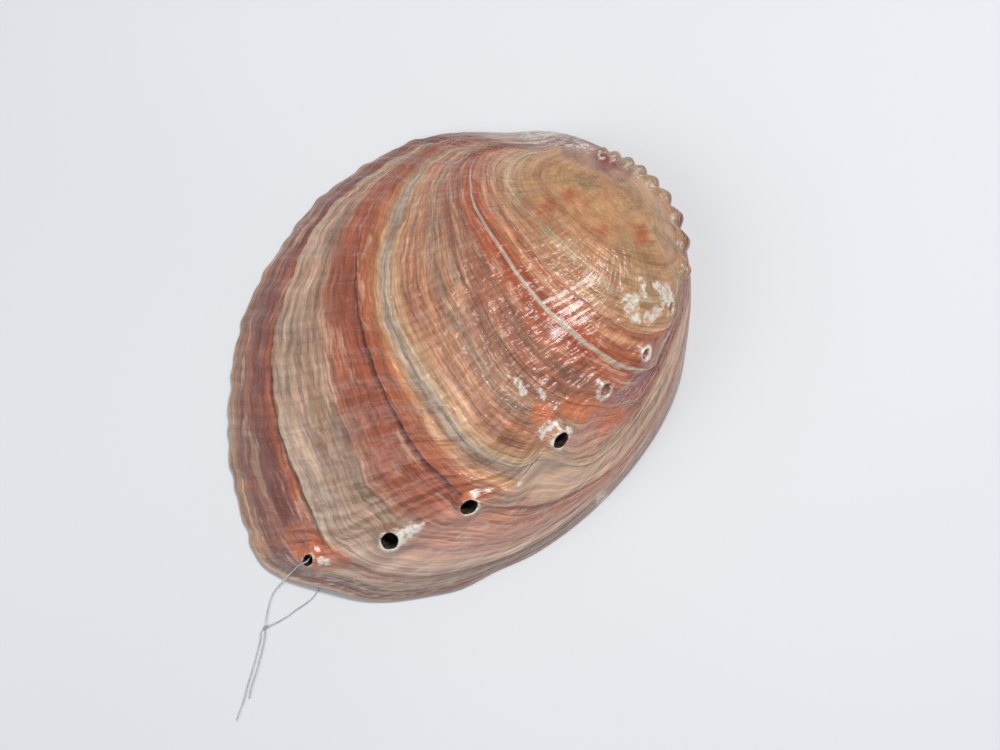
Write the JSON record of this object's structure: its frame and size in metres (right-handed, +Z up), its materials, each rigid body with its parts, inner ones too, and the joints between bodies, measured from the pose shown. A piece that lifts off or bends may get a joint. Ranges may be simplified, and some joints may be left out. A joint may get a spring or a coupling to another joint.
{
  "type": "abalone shell",
  "caption": "Domed ear-shaped sea shell lying mouth down, with a low spire at one side, a curved row of raised breathing holes and a fine thread tied through the newest hole.",
  "frame": {"origin": "On the surface that the shell rests on, under the middle of the shell's length and width, without the thread.", "axes": "+X along the shell's length from the front margin to the spire, +Y across it away from the row of holes, +Z up through the dome."},
  "size_m": [0.1967, 0.1272, 0.0464],
  "materials": {
    "shell_outside": "Polished calcite shell, brick red and orange brown with grey green and pale growth bands and a purple brown margin, worn to white nacre at the hole rims; stands in as gloss plastic.",
    "clear_nylon": "Clear single-strand nylon thread, smooth and slightly milky."
  },
  "bodies": {
    "root": {"shell": "shell_outside", "thread_over": "clear_nylon", "thread_under": "clear_nylon", "thread_knot": "clear_nylon", "thread_end_short": "clear_nylon", "thread_end_long": "clear_nylon"}
  },
  "joints": []
}
